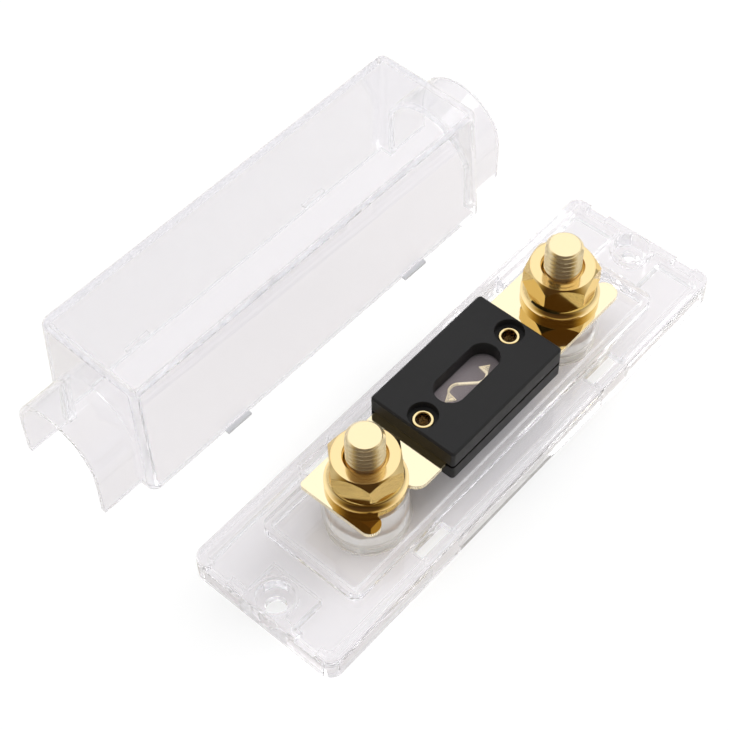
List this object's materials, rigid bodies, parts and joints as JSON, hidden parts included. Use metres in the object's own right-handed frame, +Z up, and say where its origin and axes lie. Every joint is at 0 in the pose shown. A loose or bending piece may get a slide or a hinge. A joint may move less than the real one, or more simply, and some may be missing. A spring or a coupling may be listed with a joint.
{
  "type": "bolt down fuse holder",
  "caption": "clear moulded base with upright hex bolts, a bolted strip fuse held by flange nuts, and its clear cover taken off and laid beside it",
  "frame": {"origin": "centre of the base's underside, midway between its two mounting holes", "axes": "X runs along the base through both studs, with +X towards the end where the fuse's slot is open to the end; Y points across the base to the cover laid beside it; Z is up, along the studs"},
  "size_m": [0.1269, 0.0883, 0.0318],
  "materials": {
    "clear_plastic": "clear colourless moulding, polished",
    "gold_plate": "bright gold plate, mirror polished",
    "black_plastic": "black moulding, fine satin",
    "sheet_plastic": "thin grey-lilac sheet",
    "window_plastic": "thin clear pane"
  },
  "bodies": {
    "base": {"base": "clear_plastic", "near_stud_bolt": "gold_plate", "far_stud_bolt": "gold_plate"},
    "cover": {"cover": "clear_plastic"},
    "near_nut": {"near_flange_nut": "gold_plate"},
    "far_nut": {"far_flange_nut": "gold_plate"},
    "fuse": {"fuse_link": "gold_plate", "insulating_sheet": "sheet_plastic", "fuse_upper_shell": "black_plastic", "fuse_lower_shell": "black_plastic", "near_rivet": "gold_plate", "far_rivet": "gold_plate", "upper_window_pane": "window_plastic", "lower_window_pane": "window_plastic"}
  },
  "joints": [
    {"name": "cover_lift", "type": "slide", "parent": "base", "child": "cover", "axis": [0, 0, 1], "range_m": [0, 0.04]},
    {"name": "near_nut_spin", "type": "hinge", "parent": "base", "child": "near_nut", "pos_m": [-0.031, 0, 0.02], "axis": [0, 0, 1], "continuous": true},
    {"name": "far_nut_spin", "type": "hinge", "parent": "base", "child": "far_nut", "pos_m": [0.031, 0, 0.02], "axis": [0, 0, 1], "continuous": true},
    {"name": "fuse_swing", "type": "hinge", "parent": "base", "child": "fuse", "pos_m": [0.031, 0, 0.0145], "axis": [0, 0, 1], "range_deg": [-15, 0]}
  ]
}
